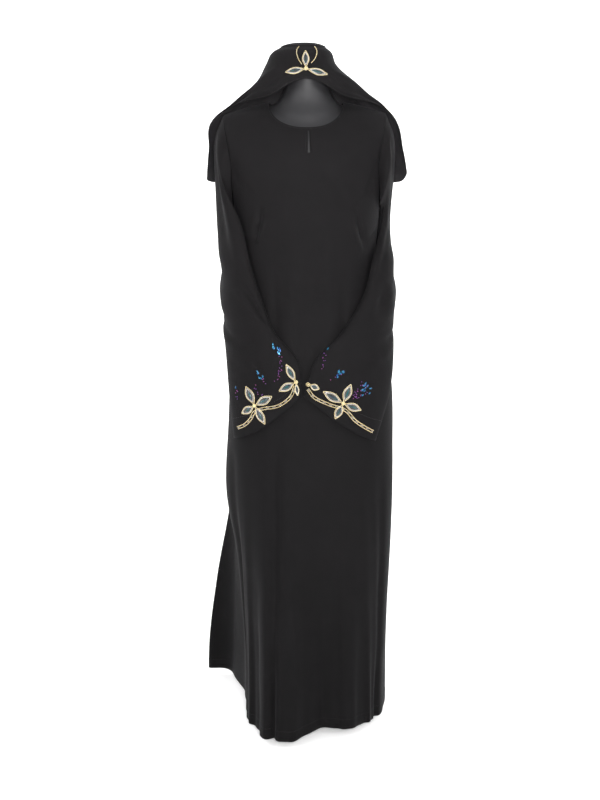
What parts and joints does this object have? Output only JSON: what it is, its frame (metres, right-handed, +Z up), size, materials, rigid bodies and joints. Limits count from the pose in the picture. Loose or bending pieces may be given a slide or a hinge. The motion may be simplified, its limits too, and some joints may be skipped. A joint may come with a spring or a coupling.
{
  "type": "kaftan with matching veil on a limbless dress form",
  "caption": "Long black pull-on kaftan with flared skirt, beaded cuffs and matching head veil, worn by a limbless dress form on a round base.",
  "frame": {"origin": "on the floor under the middle of the shoulders, on the flat underside of the stand's base", "axes": "+Z up, the front looks along -Y, +X is the wearer's left"},
  "size_m": [0.4849, 0.4266, 1.6105],
  "materials": {
    "crepe": "matte black crepe",
    "beadwork": "pale gold beads round clear marquise stones",
    "form": "smooth dark grey shell",
    "pole": "satin",
    "base": "black enamel"
  },
  "bodies": {
    "root": {"kaftan_front": "crepe", "kaftan_back": "crepe", "sleeve_right": "crepe", "sleeve_left": "crepe", "veil": "crepe", "cuff_beadwork_right": "beadwork", "cuff_beadwork_left": "beadwork", "veil_beadwork": "beadwork", "form_torso": "form", "form_pole": "pole", "form_base": "base"}
  },
  "joints": []
}
